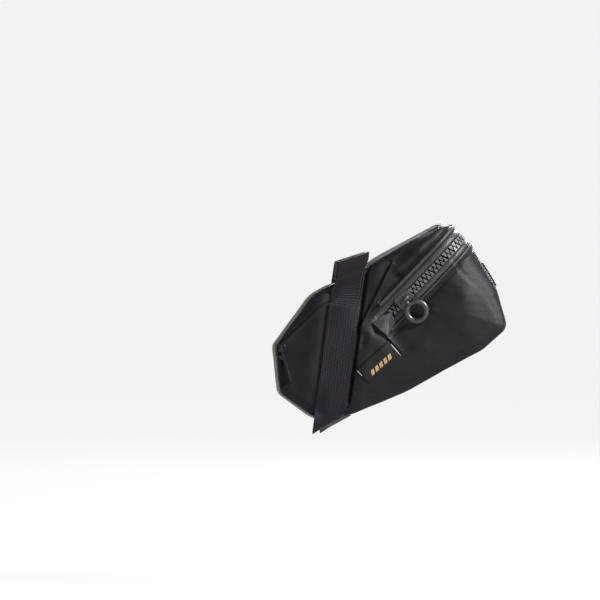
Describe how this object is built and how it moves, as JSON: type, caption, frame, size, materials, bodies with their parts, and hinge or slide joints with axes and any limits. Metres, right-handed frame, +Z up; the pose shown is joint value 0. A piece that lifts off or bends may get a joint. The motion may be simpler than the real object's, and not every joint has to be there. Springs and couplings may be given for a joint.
{
  "type": "saddle bag",
  "caption": "Wedge-shaped fabric saddle bag hung from the saddle rails by a hook-and-loop strap, with a moulded-tooth zip round its rear lid and a ring puller.",
  "frame": {"origin": "midway between the two saddle rails, inside the strap loops", "axes": "+X towards the bag's rear along the bicycle, +Z up, -Y is the near side that carries the slider and the label"},
  "size_m": [0.1635, 0.0827, 0.1517],
  "materials": {
    "shell_fabric": "coated woven polyester, fine horizontal rib, soft sheen",
    "lining": "plain woven lining",
    "webbing": "ribbed hook-and-loop webbing",
    "trim_fabric": "binding and tape",
    "zip_plastic": "moulded teeth, semi-matt",
    "pull_plastic": "moulded, semi-gloss",
    "board": "polyethylene board",
    "label_fabric": "woven label with a gold mark"
  },
  "bodies": {
    "root": {"side_panel_near": "shell_fabric", "side_panel_far": "shell_fabric", "top_front_panel": "shell_fabric", "front_panel": "shell_fabric", "bottom_panel": "shell_fabric", "rear_panel": "shell_fabric", "hinge_gusset": "shell_fabric", "liner": "lining", "base_board": "board", "zip_tape_body": "zip_plastic", "body_welt": "trim_fabric", "zip_tab_near": "trim_fabric", "zip_tab_far": "trim_fabric", "label": "label_fabric", "light_loop": "trim_fabric", "strap_narrow": "webbing", "strap_wide": "webbing"},
    "lid": {"lid_top_panel": "shell_fabric", "lid_wing_near": "shell_fabric", "lid_wing_far": "shell_fabric", "zip_tape_lid": "zip_plastic", "lid_piping": "trim_fabric"},
    "slider": {"slider": "pull_plastic"},
    "pull_link": {"pull_link": "pull_plastic"},
    "pull_ring": {"pull_ring": "pull_plastic"}
  },
  "joints": [
    {"name": "lid_open", "type": "hinge", "parent": "root", "child": "lid", "pos_m": [0.0194, 0, -0.0397], "axis": [0, -1, 0], "range_deg": [0, 14]},
    {"name": "zip_slide", "type": "slide", "parent": "root", "child": "slider", "axis": [0.6843, -0.108, 0.7211], "range_m": [0, 0.035]},
    {"name": "pull_lift", "type": "hinge", "parent": "slider", "child": "pull_link", "pos_m": [0.03531, -0.03978, -0.02293], "axis": [-0.6843, 0.108, -0.7211], "range_deg": [0, 100]},
    {"name": "ring_swing", "type": "hinge", "parent": "pull_link", "child": "pull_ring", "pos_m": [0.03848, -0.03908, -0.02584], "axis": [-0.0743, -0.9942, -0.0783], "range_deg": [-35, 35]}
  ]
}
